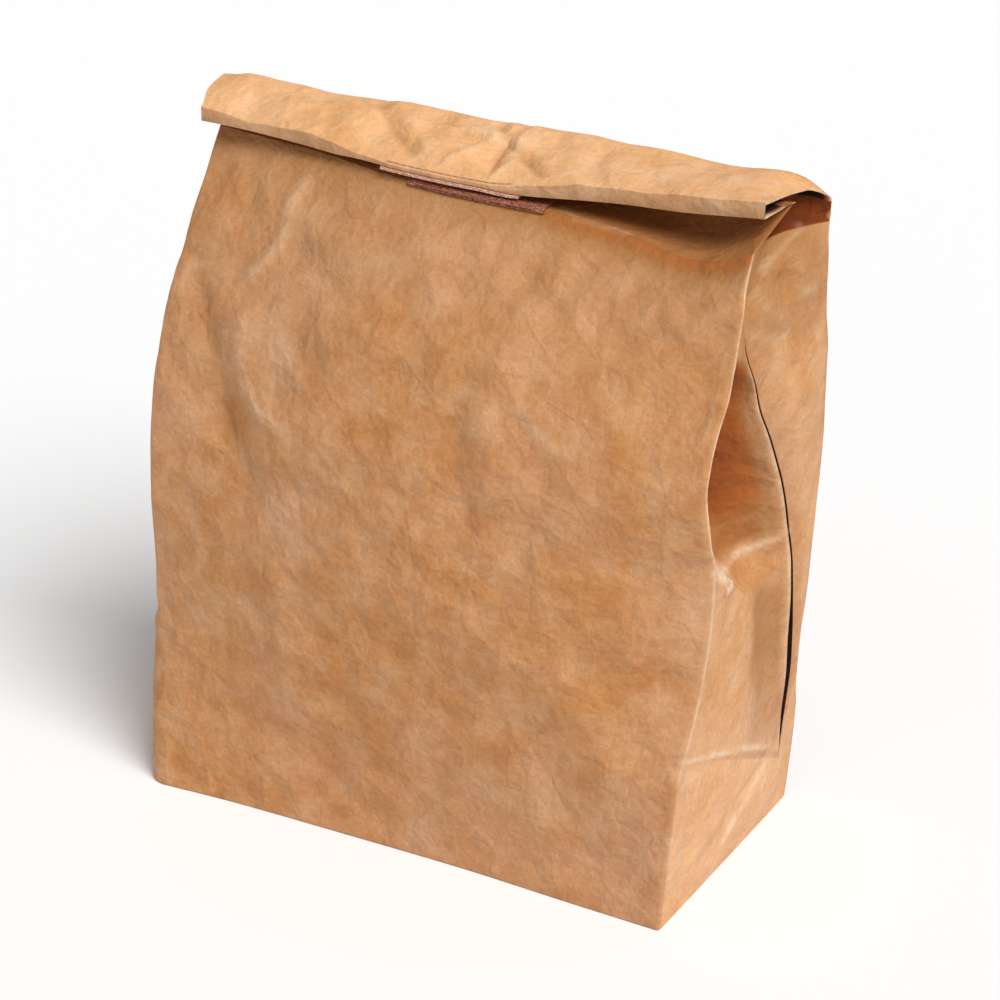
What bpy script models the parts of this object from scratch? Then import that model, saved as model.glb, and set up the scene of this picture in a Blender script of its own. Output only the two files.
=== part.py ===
"""Rolled-top lunch bag of washable kraft paper, closed with a sewn hook and loop tape.

The bag is one sheet, glued into a gusseted tube with a block bottom. Its surface is a stack of
closed rings. Each ring crosses the front panel, the right gusset, the back panel and the left
gusset. The rings climb from the base to the shoulder, turn forward into the flat roll and end
at the roll's lip. The front faces -Y and the base rests on Z = 0.
"""

import math

import bmesh
import bpy
import numpy as np

# Driving sizes of the bag, in metres
MOUTH_WIDTH = 0.2424
BASE_WIDTH = 0.2165
BASE_DEPTH = 0.1050
BASE_SKEW = 0.0040
ROLL_HEIGHT = 0.2550
ROLL_RISE = 0.0018
BLOCK_HEIGHT = 0.066
PANEL_SWELL = 0.008
BACK_SWELL = 0.005
BACK_LEAN = 0.0085
BASE_EDGE = 0.0010
BLOCK_SWELL = 0.0018
CREASE_DEPTH = 0.0016
CREASE_LENGTH = 0.055
CREASE_WIDTH = 0.013

# Rounding of the four upright edges
LEFT_CORNER = 0.009
FRONT_CORNER = 0.0018
BACK_CORNER = 0.003

# Flat roll at the top, whose right end is lifted and pulled in
ROLL_LEFT = 0.0268
ROLL_MIDDLE = 0.0422
ROLL_RIGHT = 0.0408
ROLL_BEND = 0.005
LEFT_ROUND = 0.0025
LIP_HEIGHT = 0.0062
LIP_LIFT = 0.0066
RIGHT_PULL = 0.0075
PAPER_EDGE = 0.0009
ROLL_DENT = 0.0028
SLOT_DEPTH = 0.011

# Tuck in the right gusset: a hollow behind the front edge and a narrow slit
TUCK_FOOT = 0.028
HOLLOW_DEPTH = 0.025
SLIT_DEPTH = 0.016
SLIT_MOUTH = 0.0007
LEFT_TUCK_DEPTH = 0.012
UPPER_DENT = 0.0055

# Closing tape: two strips and their sewing threads
TAPE_LENGTH = 0.055
TAPE_WIDTH = 0.016
TAPE_THICKNESS = 0.0010
HOOK_CENTRE = -0.0060
LOOP_CENTRE = 0.0045
HOOK_OVERHANG = 0.0006
LOOP_DROP = 0.0012
SEAM_INSET = 0.0022
THREAD_RADIUS = 0.00025
STITCH_LENGTH = 0.0030
CLEARANCE = 0.0003

# Stations across a panel, as shares of its half width
HALF_STATIONS = (0.1, 0.2, 0.3, 0.4, 0.5, 0.6, 0.7, 0.79, 0.87, 0.93, 0.97, 1.0)
ACROSS = np.array([-s for s in reversed(HALF_STATIONS)] + [0.0] + list(HALF_STATIONS))

# Rings of the block bottom, as shares of its height, then of the wall, shoulder and roll
BLOCK_ROWS = np.array([0.0, 0.02, 0.12, 0.28, 0.45, 0.62, 0.78, 0.92, 0.97])
WALL_ROWS = np.array([0.0, 0.02, 0.05, 0.1, 0.16, 0.22, 0.28, 0.34, 0.39, 0.43, 0.46, 0.49, 0.53,
                      0.58, 0.63, 0.68, 0.73, 0.78, 0.82, 0.86, 0.9, 0.94, 0.97, 1.0])
SHOULDER_ROWS = np.array([0.15, 0.25, 0.4, 0.6, 0.8, 1.0])
ROLL_ROWS = np.array([0.05, 0.1, 0.16, 0.22, 0.36, 0.52, 0.68, 0.84, 0.965, 1.0])

GUSSET_STEPS = 14


def through(knots, place):
    """Smooth curve through (place, value) knots that never swings past them."""
    at, value = np.array(knots, dtype=float).T
    step = np.diff(at)
    slope = np.diff(value) / step
    product = slope[:-1] * slope[1:]
    total = slope[:-1] + slope[1:]
    inner = np.where(product > 0, 2 * product / np.where(total == 0, 1, total), 0)
    tangent = np.concatenate(([slope[0]], inner, [slope[-1]]))
    place = np.clip(place, at[0], at[-1])
    i = np.clip(np.searchsorted(at, place, side="right") - 1, 0, len(step) - 1)
    r = (place - at[i]) / step[i]
    rise = value[i] * (1 + 2 * r) * (1 - r) ** 2 + value[i + 1] * r ** 2 * (3 - 2 * r)
    bend = tangent[i] * r * (1 - r) ** 2 - tangent[i + 1] * r ** 2 * (1 - r)
    return rise + bend * step[i]


def ease(value, start, end):
    """Smooth step from 0 at start to 1 at end."""
    share = np.clip((value - start) / (end - start), 0, 1)
    return share * share * (3 - 2 * share)


def mix(first, second, share):
    """Straight blend from the first value to the second."""
    return first + (second - first) * share


# Lines that run across the bag, from the left edge (-1) to the right edge (1)


def back_rim_y():
    """Where the back panel turns forward into the roll."""
    return back_base_y() - BACK_LEAN


def back_base_y():
    """Back line of the base."""
    return BASE_DEPTH / 2 + BASE_SKEW / 2


def rim_height(across):
    """Top of the roll above its bend at the back."""
    droop = through([(-1, 0.0030), (-0.8, 0.0017), (-0.2, 0.0008), (0.3, 0.0), (0.75, 0.0),
                     (0.91, -0.0012), (1, 0.0040)], across)
    return ROLL_HEIGHT + ROLL_RISE - droop


def lip_y(across):
    """Front edge of the roll: it runs askew, deepest at the middle."""
    depth = through([(-1, ROLL_LEFT), (-0.6, mix(ROLL_LEFT, ROLL_MIDDLE, 0.35)),
                     (-0.25, mix(ROLL_LEFT, ROLL_MIDDLE, 0.9)), (0, ROLL_MIDDLE),
                     (0.55, mix(ROLL_MIDDLE, ROLL_RIGHT, 0.8) - 0.0012), (1, ROLL_RIGHT)], across)
    return back_rim_y() - depth


def lip_top(across):
    """Upper crease of the lip, which is pressed down over the tape and lifted at the right."""
    lift = through([(-1, -0.9), (-0.4, -0.95), (-0.25, -1.08), (0.08, -1.05), (0.24, -0.62),
                    (0.5, 0.0), (0.75, 0.45), (1, 1.0)], across)
    return ROLL_HEIGHT + lift * LIP_LIFT


def lip_bottom(across):
    """Lower crease of the lip, nearly shut over the tape."""
    gap = through([(-1, 0.85), (-0.9, 0.75), (-0.5, 0.6), (-0.27, 0.2), (0.05, 0.2), (0.24, 0.66),
                   (0.5, 0.84), (0.75, 0.98), (1, 1)], across)
    return lip_top(across) - LIP_HEIGHT * gap


def inner_corner(across):
    """Corner under the roll where its lower layer meets the front panel, as y and z."""
    y = lip_y(across) + through([(-1, 0.018), (0, 0.027), (1, 0.0205)], across)
    z = lip_bottom(across) - through([(-1, 0.004), (0, 0.0015), (1, 0.001)], across)
    return y, z


def shoulder(across):
    """Rounded top of the front panel, under the roll, as y and z."""
    y = lip_y(across) + through([(-1, 0.0085), (-0.5, 0.003), (0, 0.0004), (0.5, -0.0015),
                                 (0.84, -0.0065), (1, -0.0075)], across)
    z = ROLL_HEIGHT - through([(-1, 0.0155), (-0.6, 0.0135), (-0.36, 0.0123), (0.25, 0.0123),
                               (0.5, 0.0145), (0.78, 0.0178), (0.9, 0.0155), (1, 0.0105)], across)
    return y, z


def base_front_y(across):
    """Front line of the base, a little askew and hollow towards the left."""
    forward = through([(-1, -0.75), (-0.65, -1.05), (-0.2, -0.8), (0.22, -0.45), (0.64, 0.35),
                       (1, 1.0)], across)
    return -BASE_DEPTH / 2 + BASE_SKEW / 2 - BASE_SKEW * forward


def half_width(share):
    """Half width for a share between the base width and the mouth width."""
    return mix(BASE_WIDTH, MOUTH_WIDTH, share) / 2


def creases(across, height, kept):
    """Soft creases of handled paper on a wide panel, as a depth that fades towards its edges."""
    depth = 0 * across * height
    for i in kept:
        from_left = MOUTH_WIDTH * (across / 2 + 0.5 - (0.618 * i) % 1)
        from_base = height - ROLL_HEIGHT * ((0.755 * i) % 1)
        angle = math.pi * ((0.570 * i) % 1)
        along = from_left * math.cos(angle) + from_base * math.sin(angle)
        aside = from_base * math.cos(angle) - from_left * math.sin(angle)
        ridge = np.clip(1 - np.abs(aside) / CREASE_WIDTH, 0, 1)
        depth = depth + (-1) ** i * ridge * np.clip(1 - (along / CREASE_LENGTH) ** 2, 0, 1)
    top = ROLL_HEIGHT - CREASE_WIDTH
    inside = ease(np.abs(across), 1.0, 0.8) * ease(height, 0, CREASE_WIDTH) * ease(height, top, top * 0.9)
    return CREASE_DEPTH * depth * inside


# Front panel


def front_lean(rise, across):
    """How far the panel has come from the base line to the shoulder line, at each height."""
    left = through([(0, 0), (0.13, 0.06), (0.266, 0.135), (0.3, 0.145), (0.367, 0.17),
                    (0.437, 0.165), (0.505, 0.175), (0.57, 0.195), (0.633, 0.23), (0.724, 0.31),
                    (0.778, 0.41), (0.83, 0.525), (0.88, 0.66), (0.93, 0.8), (1, 1)], rise)
    right = through([(0, 0), (0.147, 0.08), (0.24, 0.115), (0.27, 0.18), (0.376, 0.35),
                     (0.486, 0.40), (0.56, 0.43), (0.61, 0.354), (0.687, 0.317), (0.72, 0.356),
                     (0.77, 0.46), (0.815, 0.615), (0.88, 0.72), (0.957, 0.84), (1, 1)], rise)
    middle = through([(0, 0), (0.27, 0.03), (0.41, 0.07), (0.62, 0.16), (0.79, 0.35),
                      (0.89, 0.60), (0.955, 0.80), (1, 1)], rise)
    edges = mix(left, right, (across + 1) / 2)
    return mix(middle, edges, np.abs(across) ** 2.2)


def corner_round(across, width, left, right):
    """How far an upright edge is rounded back from its sharp corner."""
    radius = np.where(across < 0, left, right)
    inside = np.clip(radius - width * (1 - np.abs(across)), 0, radius)
    return radius - np.sqrt(radius ** 2 - inside ** 2)


def front_panel(rows, stations):
    """Front line of each ring, from the base up to the lip, as an array of points."""
    across = stations[None, :]
    y_top, z_top = shoulder(across)
    y_in, z_in = inner_corner(across)
    z_block = rows["block"][:, None] * BLOCK_HEIGHT + 0 * across
    z_wall = mix(BLOCK_HEIGHT, z_top, rows["wall"][:, None])
    z = np.vstack([z_block, z_wall])
    rise = z / z_top
    y = mix(base_front_y(across), y_top, front_lean(rise, across))
    swell = through([(0, 0), (0.27, 0.35), (0.5, 1), (0.72, 0.9), (0.92, 0.3), (1, 0)], rise)
    y = y - PANEL_SWELL * swell * (1 - across ** 2) + creases(across, z, range(1, 29))
    left = half_width(through([(0, 0.3), (0.03, 0.36), (0.26, 0.47), (0.295, 0.22), (0.33, 0.26),
                               (0.43, 0.35), (0.57, 0.41), (0.72, 0.42), (0.83, 0.45),
                               (0.93, 0.54), (1, 0.58)], rise))
    right = half_width(through([(0, -0.14), (0.27, 0.12), (0.376, 0.29), (0.486, 0.46),
                                (0.6, 0.46), (0.7, 0.375), (0.8, 0.42), (0.9, 0.46),
                                (1, 0.33)], rise))
    x = mix(-left, right, (across + 1) / 2)
    low = 1 - ease(z, BLOCK_HEIGHT * 0.85, BLOCK_HEIGHT * 1.15)
    y = y + corner_round(across, half_width(0.3), mix(FRONT_CORNER, LEFT_CORNER, low), FRONT_CORNER)

    q = rows["shoulder"][:, None]
    rounding = corner_round(across, half_width(1), FRONT_CORNER, FRONT_CORNER)
    y_turn = mix(y_top, y_in, q) + rounding * (1 - q)
    z_turn = mix(z_top, z_in, q ** mix(4.0, 1.0, ease(across, 0.7, 1.0)))
    pulled = half_width(1) - RIGHT_PULL
    x_turn = mix(-mix(half_width(0.58), half_width(0.95), q),
                 mix(half_width(0.33), pulled + 0.002, q), (across + 1) / 2)

    w = rows["roll"][:, None]
    y_roll = mix(y_in, lip_y(across), w)
    z_roll = mix(z_in, lip_bottom(across), w)
    x_left = half_width(0.95) - LEFT_ROUND * ease(w, 0.5, 1)
    x_roll = mix(-x_left, mix(pulled + 0.002, pulled, w), (across + 1) / 2)
    return np.stack([np.vstack([x, x_turn, x_roll]), np.vstack([y, y_turn, y_roll]),
                     np.vstack([z, z_turn, z_roll])], axis=-1)


# Back panel and the roll's upper layer


def roll_dents(across, share):
    """Dimple and pointed crumple pressed into the top of the roll, as a depth."""
    dimple = np.exp(-((across + 0.36) / 0.05) ** 2 - ((share - 0.55) / 0.3) ** 2)
    ridge = np.abs(across - 0.01 - 0.13 * (share - 0.5))
    star = np.exp(-(ridge / 0.06) ** 2) * ease(share, 0.15, 0.5)
    pinch = np.exp(-((across - 0.36) / 0.03) ** 2 - ((share - 0.35) / 0.25) ** 2)
    return ROLL_DENT * (0.8 * dimple + star + 0.5 * pinch)


def back_panel(rows, stations):
    """Back line of each ring, up the back panel and forward over the roll to its lip."""
    across = stations[None, :]
    top = rim_height(across)
    z_block = rows["block"][:, None] * BLOCK_HEIGHT + 0 * across
    z_wall = mix(BLOCK_HEIGHT, top - 0.012, rows["wall"][:, None])
    z_turn = mix(top - 0.012, top - ROLL_BEND, rows["shoulder"][:, None])
    z = np.vstack([z_block, z_wall, z_turn])
    rise = z / top
    lean = through([(0, 0), (0.16, 0), (0.2, 0.27), (0.24, 0.4), (0.3, 0.36), (0.38, 0.58),
                    (0.5, 0.58), (0.57, 0.42), (0.63, 0.33), (0.69, 0.38), (0.75, 0.5),
                    (0.82, 0.75), (0.94, 0.95), (1, 1)], rise)
    y = back_base_y() - BACK_LEAN * lean
    swell = through([(0, 0), (0.25, 0.8), (0.5, 1), (0.8, 0.5), (1, 0)], rise)
    y = y + BACK_SWELL * swell * (1 - across ** 2) + creases(across, z, range(29, 57))
    y = y - corner_round(across, half_width(0.6), BACK_CORNER, BACK_CORNER) * (1 - ease(rise, 0.9, 1))
    width = half_width(through([(0, 0), (0.05, 0.11), (0.1, 0.2), (0.18, 0.28), (0.235, 0.38),
                                (0.3, 0.48), (0.37, 0.65), (0.44, 0.74), (0.5, 0.82),
                                (0.57, 0.9), (0.69, 0.95), (0.8, 1), (1, 1)], rise))
    x = across * width

    w = rows["roll"][:, None]
    turn = np.clip(w / 0.22, 0, 1)
    angle = turn * math.pi / 2
    along = np.clip((w - 0.22) / 0.78, 0, 1)
    y_bend = back_rim_y() - ROLL_BEND * (1 - np.cos(angle))
    z_bend = top - ROLL_BEND * (1 - np.sin(angle))
    crown = 4 * along * (1 - along) * through([(-1, 0.0012), (0, 0.0016), (1, 0.0004)], across)
    dent = roll_dents(across, along) * ease(along, 0, 0.2) * (1 - ease(along, 0.7, 0.9))
    y_roll = mix(y_bend, lip_y(across), along)
    z_roll = mix(z_bend, lip_top(across), along) + crown - dent
    reach = ease(turn, 0.2, 1)
    x_left = mix(half_width(1), half_width(0.95), along) - LEFT_ROUND * ease(along, 0.5, 1)
    x_roll = mix(-x_left, half_width(1) - RIGHT_PULL * reach, (across + 1) / 2)
    return np.stack([np.vstack([x, x_roll]), np.vstack([y, y_roll]), np.vstack([z, z_roll])],
                    axis=-1)


# Gussets


def block_fold(share, foot_share, dip):
    """Height of the block bottom's crease across a gusset, lowest where the tuck ends."""
    tent = np.minimum(share / foot_share, (1 - share) / (1 - foot_share))
    return BLOCK_HEIGHT - dip * np.clip(tent, 0, 1)


def tuck_layout(slit, mouth):
    """Shares of the gusset's depth for its points, gathered round the slit."""
    before = np.array([0, 0.03, 0.07, 0.17, 0.31, 0.46, 0.61, 0.76, 0.9, 0.993, 1.0])
    after = np.array([0.0, 0.4, 0.75, 1.0])
    start = slit + mouth
    return np.concatenate([slit[:, None] * before[None, :],
                           mix(start[:, None], 1.0, after[None, :])], axis=1)


def slot_layout(front, back):
    """Shares and recess for the open end of the roll: two paper edges and a slot between."""
    length = np.linalg.norm(back - front, axis=1)
    edge = np.clip(PAPER_EDGE / length, 0.02, 0.3)[:, None]
    inner = np.linspace(0, 1, GUSSET_STEPS - 3)[None, :]
    middle = mix(edge * 1.02, 1 - edge * 1.02, inner)
    zero = np.zeros_like(edge)
    share = np.hstack([zero, edge, middle, 1 - edge, zero + 1])
    recess = np.hstack([zero, zero, np.where((inner > 0.05) & (inner < 0.95), 1.0, 0.6) + zero,
                        zero, zero])
    return share, recess


def gusset(rows, front, back, side, slit_knots, hollow_knots, band_knots, slit_depth, dip):
    """Points of one gusset, between the front line and the back line of each ring."""
    block, wall = rows["block"], rows["wall"]
    low = len(block)
    high = low + len(wall)
    even = np.linspace(0, 1, GUSSET_STEPS + 1)[None, :]

    climb = np.concatenate([0 * block, wall])
    slit = through(slit_knots, climb)
    depth_here = back[:high, 1] - front[:high, 1]
    layout = tuck_layout(slit, SLIT_MOUTH / depth_here)
    share = mix(layout, even, ease(climb, 0.88, 1.0)[:, None])
    point = mix(front[:high, None, :], back[:high, None, :], share[..., None])
    crease = block_fold(share, slit[0], dip)
    crest = mix(front[high - 1, 2], back[high - 1, 2], share)
    point[:low, :, 2] = block[:, None] * crease[:low]
    point[low:, :, 2] = mix(crease[low:], crest[low:], wall[:, None])
    point[:, 0, 2] = front[:high, 2]
    point[:, -1, 2] = back[:high, 2]

    hollow_shape = np.array([0, 0.4, 0.8, 1, 0.94, 0.8, 0.63, 0.44, 0.22, 0.05, 0.05, 0.04, 0, 0, 0])
    band_shape = np.array([0, 0, 0, 0, 0, 0.15, 0.6, 1, 0.7, 0.15, 0, 0, 0, 0, 0])
    slit_shape = np.array([0, 0, 0, 0, 0, 0, 0, 0, 0, 0.08, 1, 0.04, 0, 0, 0])
    rear_shape = np.array([0, 0, 0, 0, 0, 0, 0, 0, 0, 0, 0, 0.3, 1, 0.8, 0])
    recess = through(hollow_knots, climb)[:, None] * hollow_shape
    recess = recess + through(band_knots, climb)[:, None] * band_shape
    gate = np.where(np.arange(high) < low, 0, 1)
    open_slit = through([(0, 0.1), (0.03, 0.7), (0.1, 1), (0.76, 1), (0.82, 0.5), (0.85, 0)], climb)
    recess = recess + (slit_depth * open_slit * gate)[:, None] * slit_shape
    recess = recess - (0.0012 * open_slit * gate)[:, None] * rear_shape
    slack = UPPER_DENT * ease(climb, 0.84, 0.93)[:, None] * np.sin(math.pi * even)
    block_rise = np.concatenate([block, 1 + 0 * wall])
    swell = (BLOCK_SWELL * 4 * block_rise * (1 - block_rise))[:, None] * np.sin(math.pi * share)
    point[..., 0] -= side * (recess + slack - swell)

    head_front, head_back = front[high:], back[high:]
    slot_share, slot_recess = slot_layout(head_front, head_back)
    turned = np.concatenate([rows["shoulder"], 0 * rows["roll"] + 2])[:, None]
    blend = ease(turned, 0.1, 0.8)
    share = mix(even, slot_share, blend)
    head = mix(head_front[:, None, :], head_back[:, None, :], share[..., None])
    inner = np.array([side * (1 - SLOT_DEPTH / half_width(1))])
    inner_front = front_panel(rows, inner)[high:]
    inner_back = back_panel(rows, inner)[high:]
    deep = ease(turned, 0.05, 0.35)
    deep[-1] = 0
    shape = mix(np.sin(math.pi * even) ** 0.5, slot_recess, blend)
    head = mix(head, mix(inner_front, inner_back, share[..., None]), (deep * shape)[..., None])
    rest = UPPER_DENT * (1 - ease(turned, 0.3, 1.0)) * np.sin(math.pi * even)
    head[..., 0] -= side * rest
    return np.concatenate([point, head])[:, 1:-1]


# Strips and threads


def ring_rows(block=(), wall=(), shoulder_part=(), roll=()):
    """Rows of rings, by the stretch of the bag that they cross."""
    return {"block": np.array(block, dtype=float), "wall": np.array(wall, dtype=float),
            "shoulder": np.array(shoulder_part, dtype=float), "roll": np.array(roll, dtype=float)}


def facing(grid):
    """Unit normal at each point of a grid of points."""
    down = np.gradient(grid, axis=0)
    along = np.gradient(grid, axis=1)
    normal = np.cross(along, down)
    return normal / np.linalg.norm(normal, axis=-1, keepdims=True)


def stations_between(centre, length, count):
    """Stations across the bag for a strip of the given length."""
    half = half_width(0.5)
    return np.linspace((centre - length / 2) / half, (centre + length / 2) / half, count)


def loop_bed():
    """Grid of points on the front panel's shoulder, where the loop strip is sewn."""
    stations = stations_between(LOOP_CENTRE, TAPE_LENGTH, 17)
    y_top, z_top = shoulder(0.0)
    turn = inner_corner(0.0)[0] - y_top
    wall = np.linspace(1 - LOOP_DROP / (z_top - BLOCK_HEIGHT), 1, 4)
    over = np.linspace(0, (TAPE_WIDTH - LOOP_DROP) / turn, 8)[1:]
    return front_panel(ring_rows(wall=wall, shoulder_part=over), stations)


def hook_bed():
    """Grid of points on the underside of the roll, where the hook strip is sewn."""
    stations = stations_between(HOOK_CENTRE, TAPE_LENGTH, 17)
    layer = inner_corner(0.0)[0] - lip_y(0.0)
    start = 1 + HOOK_OVERHANG / layer
    return front_panel(ring_rows(roll=np.linspace(start - TAPE_WIDTH / layer, start, 9)), stations)


def add_grid_faces(mesh_builder, grid, flip):
    """Faces between neighbouring vertices of a grid."""
    for lower, upper in zip(grid[:-1], grid[1:]):
        for i in range(len(lower) - 1):
            corners = [lower[i], lower[i + 1], upper[i + 1], upper[i]]
            mesh_builder.faces.new(corners[::-1] if flip else corners)


def strip_mesh(bed):
    """Closed strip of tape that lies a clearance off its bed."""
    mesh_builder = bmesh.new()
    normal = facing(bed)
    near = bed + normal * CLEARANCE
    far = bed + normal * (CLEARANCE + TAPE_THICKNESS)
    near_verts = [[mesh_builder.verts.new(p) for p in row] for row in near]
    far_verts = [[mesh_builder.verts.new(p) for p in row] for row in far]
    add_grid_faces(mesh_builder, near_verts, False)
    add_grid_faces(mesh_builder, far_verts, True)
    rims = [(near_verts[0], far_verts[0]), (near_verts[-1], far_verts[-1]),
            ([row[0] for row in near_verts], [row[0] for row in far_verts]),
            ([row[-1] for row in near_verts], [row[-1] for row in far_verts])]
    for near_rim, far_rim in rims:
        add_grid_faces(mesh_builder, [near_rim, far_rim], False)
    return mesh_builder


def thread_mesh(path, normal):
    """Closed sewing thread along a path, pinched in at each needle hole."""
    mesh_builder = bmesh.new()
    steps = np.linalg.norm(np.diff(path, axis=0), axis=1)
    place = np.concatenate([[0], np.cumsum(steps)])
    stitches = max(2, round(place[-1] / STITCH_LENGTH))
    sample = np.linspace(0, place[-1], 4 * stitches + 1)
    centre = np.stack([np.interp(sample, place, path[:, i]) for i in range(3)], axis=-1)
    out = np.stack([np.interp(sample, place, normal[:, i]) for i in range(3)], axis=-1)
    out = out / np.linalg.norm(out, axis=1, keepdims=True)
    ahead = np.gradient(centre, axis=0)
    beside = np.cross(out, ahead)
    beside = beside / np.linalg.norm(beside, axis=1, keepdims=True)
    wave = np.abs(np.sin(np.linspace(0, math.pi * stitches, len(sample))))
    radius = THREAD_RADIUS * (0.45 + 0.55 * np.sqrt(wave))
    rings = []
    for turn in np.linspace(0, 2 * math.pi, 7)[:-1]:
        lift = CLEARANCE + THREAD_RADIUS + radius * math.cos(turn)
        side = radius * math.sin(turn)
        rings.append(centre + out * lift[:, None] + beside * side[:, None])
    rings = np.stack(rings, axis=1)
    verts = [[mesh_builder.verts.new(p) for p in ring] for ring in rings]
    add_grid_faces(mesh_builder, [ring + ring[:1] for ring in verts], False)
    mesh_builder.faces.new(verts[0])
    mesh_builder.faces.new(verts[-1])
    return mesh_builder


def hook_thread_mesh():
    """Thread that shows on top of the roll, just behind the lip."""
    stations = stations_between(HOOK_CENTRE, TAPE_LENGTH - 2 * SEAM_INSET, 25)
    upper_layer = lip_y(0.0) - back_rim_y()
    seam = 1 - 0.45 * SEAM_INSET / abs(upper_layer)
    grid = back_panel(ring_rows(roll=[seam - 0.01, seam, seam + 0.01]), stations)
    return thread_mesh(grid[1], -facing(grid)[1])


def loop_thread_mesh():
    """Thread along the front edge of the loop strip, on top of the tape."""
    bed = loop_bed()
    normal = facing(bed)
    raised = bed + normal * (CLEARANCE + TAPE_THICKNESS)
    return thread_mesh(raised[1, 1:-1], normal[1, 1:-1])


# The bag


def bag_points():
    """All rings of the bag, as an array of ring, point and coordinate."""
    rows = ring_rows(BLOCK_ROWS, WALL_ROWS, SHOULDER_ROWS, ROLL_ROWS)
    front = front_panel(rows, ACROSS)
    back = back_panel(rows, ACROSS)
    right = gusset(rows, front[:, -1], back[:, -1], 1,
                   [(0, 0.84), (0.08, 0.89), (0.22, 0.856), (0.34, 0.807), (0.43, 0.753),
                    (0.545, 0.675), (0.63, 0.555), (0.74, 0.3), (0.86, 0.05), (1, 0.05)],
                   [(0, 0), (0.1, 0.0005), (0.28, 0.001), (0.34, 0.003),
                    (0.39, HOLLOW_DEPTH * 0.4), (0.46, HOLLOW_DEPTH * 0.85), (0.53, HOLLOW_DEPTH),
                    (0.68, HOLLOW_DEPTH), (0.73, HOLLOW_DEPTH * 0.75), (0.78, HOLLOW_DEPTH * 0.2),
                    (0.82, 0)],
                   [(0, 0), (0.08, 0.002), (0.25, 0.004), (0.4, 0.003), (0.5, 0)],
                   SLIT_DEPTH, BLOCK_HEIGHT - TUCK_FOOT)
    left = gusset(rows, front[:, 0], back[:, 0], -1,
                  [(0, 0.5), (0.4, 0.52), (0.8, 0.5), (1, 0.5)],
                  [(0, 0), (0.2, LEFT_TUCK_DEPTH * 0.4), (0.5, LEFT_TUCK_DEPTH),
                   (0.8, LEFT_TUCK_DEPTH * 0.6), (0.95, 0)],
                  [(0, 0), (0.5, 0.001), (1, 0)], SLIT_DEPTH, BLOCK_HEIGHT - TUCK_FOOT)
    rings = np.concatenate([front, right, back[:, ::-1], left[:, ::-1]], axis=1)
    rings[0, :, 0] *= 1 - BASE_EDGE / (BASE_WIDTH / 2)
    rings[0, :, 1] *= 1 - BASE_EDGE / (BASE_DEPTH / 2)
    return rings


def add_cap(mesh_builder, ring):
    """Faces that close the first or last ring, between its front and back lines."""
    count = len(ACROSS)
    gusset_count = GUSSET_STEPS - 1
    front = ring[:count]
    right = ring[count:count + gusset_count]
    back = ring[count + gusset_count:2 * count + gusset_count][::-1]
    left = ring[2 * count + gusset_count:][::-1]
    for i in range(1, count - 2):
        mesh_builder.faces.new([front[i], front[i + 1], back[i + 1], back[i]])
    for inner, edge, side in ((1, 0, left), (-2, -1, right)):
        outline = [front[edge], *side, back[edge]]
        for low, high in zip(outline[:-1], outline[1:]):
            mesh_builder.faces.new([front[inner], low, high])
        mesh_builder.faces.new([front[inner], back[edge], back[inner]])


def bag_mesh(rings):
    """Closed skin over all the rings."""
    mesh_builder = bmesh.new()
    verts = [[mesh_builder.verts.new(p) for p in ring] for ring in rings]
    add_grid_faces(mesh_builder, [ring + ring[:1] for ring in verts], False)
    add_cap(mesh_builder, verts[0])
    add_cap(mesh_builder, verts[-1])
    return mesh_builder


def make_material(name, colour, roughness):
    """Plain surface of one colour."""
    material = bpy.data.materials.new(name)
    material.use_nodes = True
    shader = material.node_tree.nodes["Principled BSDF"]
    shader.inputs["Base Color"].default_value = (*colour, 1.0)
    shader.inputs["Roughness"].default_value = roughness
    shader.inputs["Metallic"].default_value = 0.0
    return material


def add_object(name, mesh_builder, material, parent, smooth_angle):
    """Object made from a bmesh, with its normals out and its round parts shaded smooth."""
    bmesh.ops.recalc_face_normals(mesh_builder, faces=mesh_builder.faces)
    mesh = bpy.data.meshes.new(name)
    mesh_builder.to_mesh(mesh)
    mesh_builder.free()
    mesh.materials.append(material)
    mesh.shade_smooth()
    mesh.set_sharp_from_angle(angle=math.radians(smooth_angle))
    made = bpy.data.objects.new(name, mesh)
    made.parent = parent
    bpy.context.scene.collection.objects.link(made)


def build():
    """The bag, its tape and the threads, centred over the origin."""
    for old in list(bpy.data.objects):
        bpy.data.objects.remove(old)
    paper = make_material("kraft_paper", (0.47, 0.25, 0.11), 0.6)
    tape = make_material("woven_tape", (0.25, 0.09, 0.05), 0.9)
    thread = make_material("sewing_thread", (0.42, 0.22, 0.11), 0.8)
    rings = bag_points()
    middle = (rings[..., 1].min() + rings[..., 1].max()) / 2
    centre_x = (rings[..., 0].min() + rings[..., 0].max()) / 2
    stand = bpy.data.objects.new("bag_stand", None)
    stand.location = (-centre_x, -middle, 0)
    bpy.context.scene.collection.objects.link(stand)
    add_object("bag_body", bag_mesh(rings), paper, stand, 35)
    add_object("loop_strip", strip_mesh(loop_bed()), tape, stand, 35)
    add_object("hook_strip", strip_mesh(hook_bed()), tape, stand, 35)
    add_object("loop_strip_thread", loop_thread_mesh(), thread, stand, 60)
    add_object("hook_strip_thread", hook_thread_mesh(), thread, stand, 60)


build()
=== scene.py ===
"""Rolled-top lunch bag of washable kraft paper, closed with a sewn hook and loop tape.

The front faces -Y and the bag stands on Z = 0. Lengths are in metres.
"""

import math

import bpy
import numpy as np
from mathutils import Matrix, Vector


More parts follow.
